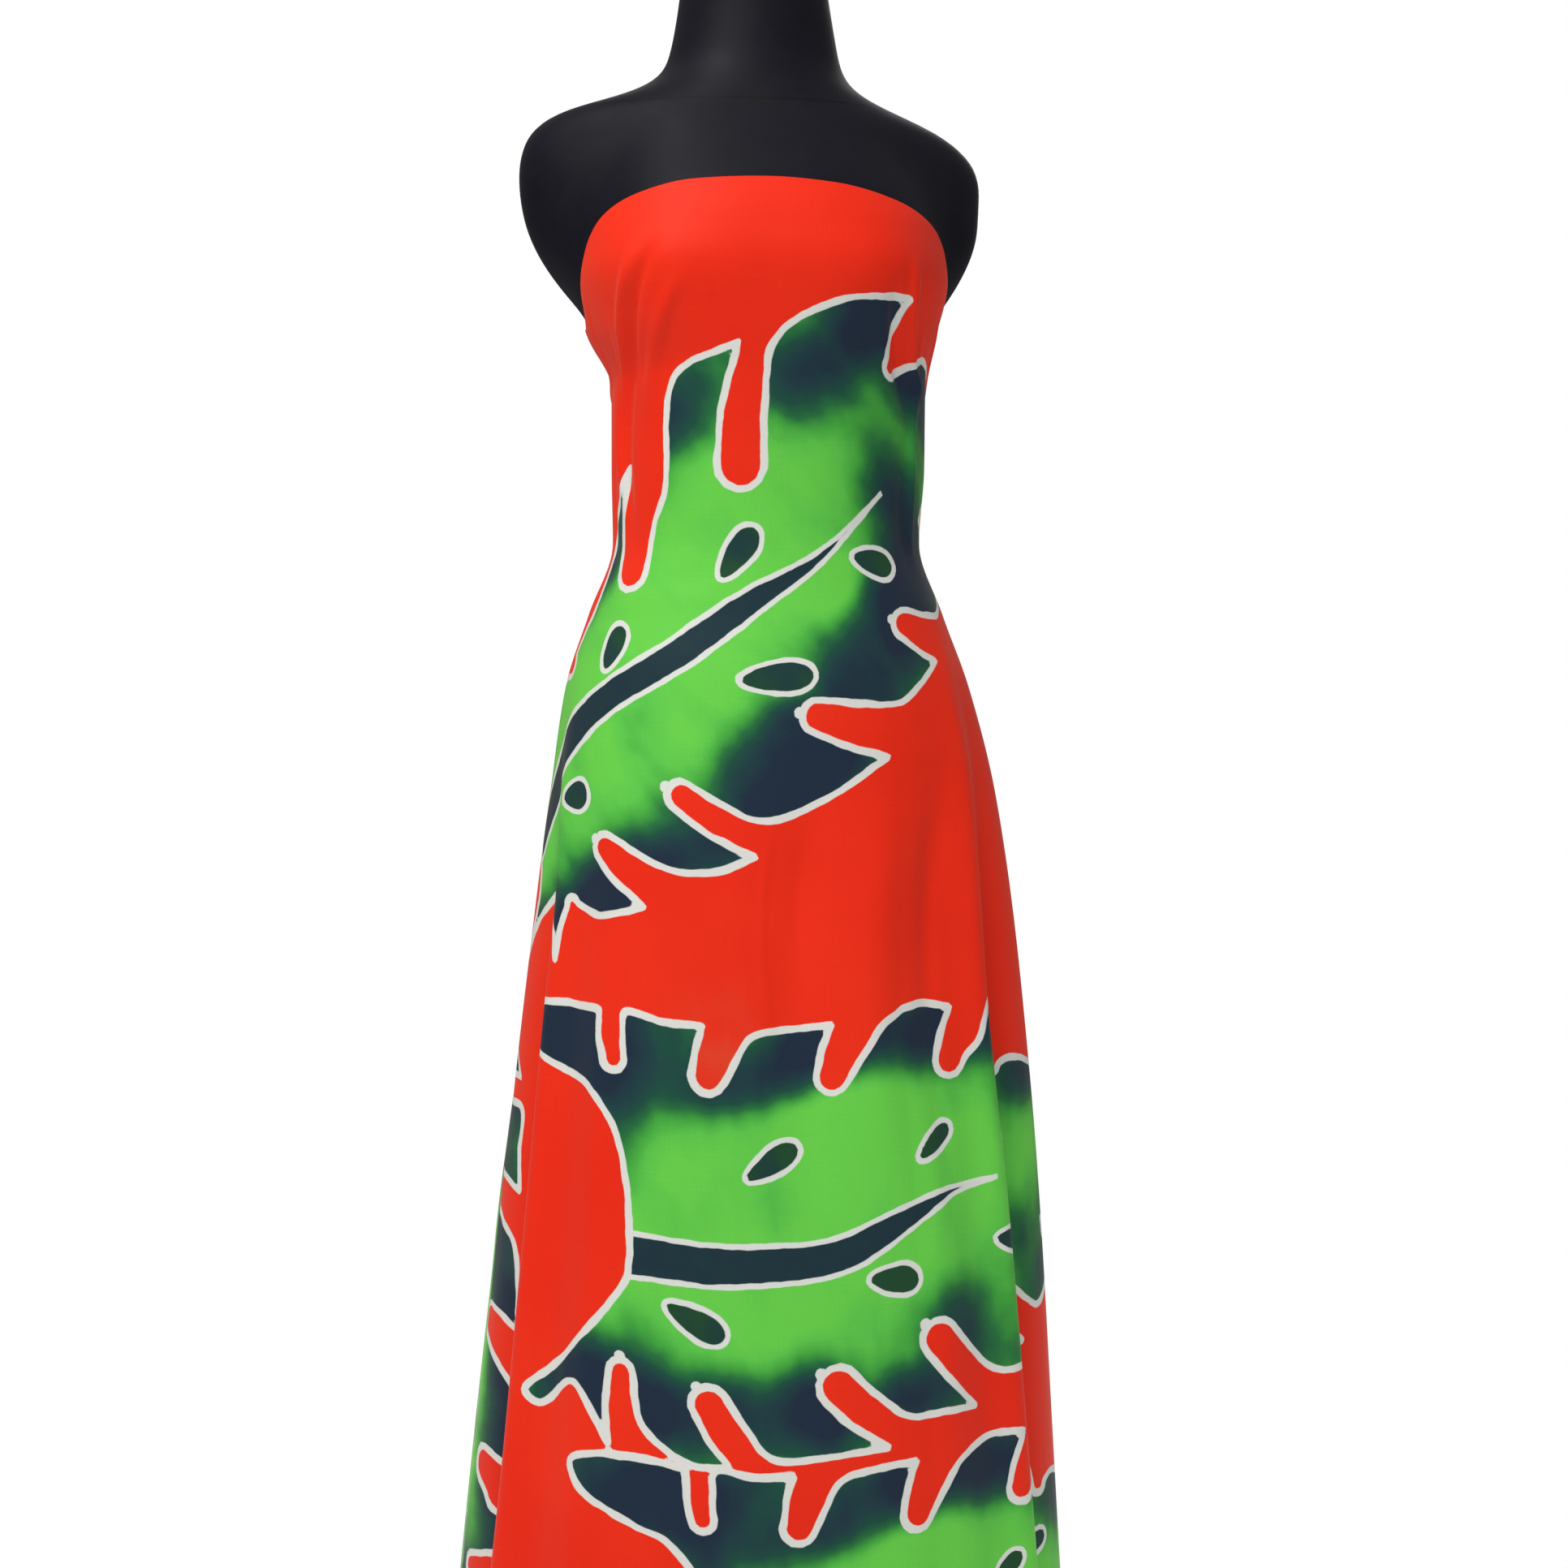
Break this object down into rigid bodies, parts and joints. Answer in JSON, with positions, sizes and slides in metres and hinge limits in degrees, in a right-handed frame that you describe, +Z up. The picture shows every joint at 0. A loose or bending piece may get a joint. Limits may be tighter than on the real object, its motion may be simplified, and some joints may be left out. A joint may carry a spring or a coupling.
{
  "type": "batik sarong on a dress form",
  "caption": "Long batik sarong in red with green and navy monstera leaves, wound strapless round a black limbless dress form on a round base, lapped and pinned at the back.",
  "frame": {"origin": "on the floor under the pole, at the middle of the underside of the round base", "axes": "+Z is up along the pole, -Y is the way the front of the form faces, +X is to the right as seen from the front"},
  "size_m": [0.4944, 0.3752, 1.4843],
  "materials": {
    "batik_cloth": "soft matt cotton with a faint sheen, wax-resist dyed",
    "form_jersey": "matt stretch jersey",
    "neck_cap": "satin",
    "stand_metal": "satin black",
    "pin_pearl": "pearl ball head"
  },
  "bodies": {
    "root": {"cloth_front": "batik_cloth", "cloth_left": "batik_cloth", "cloth_right": "batik_cloth", "form_torso": "form_jersey", "form_neck_cap": "neck_cap", "stand_base": "stand_metal", "stand_hub": "stand_metal", "stand_flange": "stand_metal", "stand_pole": "stand_metal", "back_pin_1": "pin_pearl", "back_pin_2": "pin_pearl", "back_pin_3": "pin_pearl", "back_pin_4": "pin_pearl"}
  },
  "joints": []
}
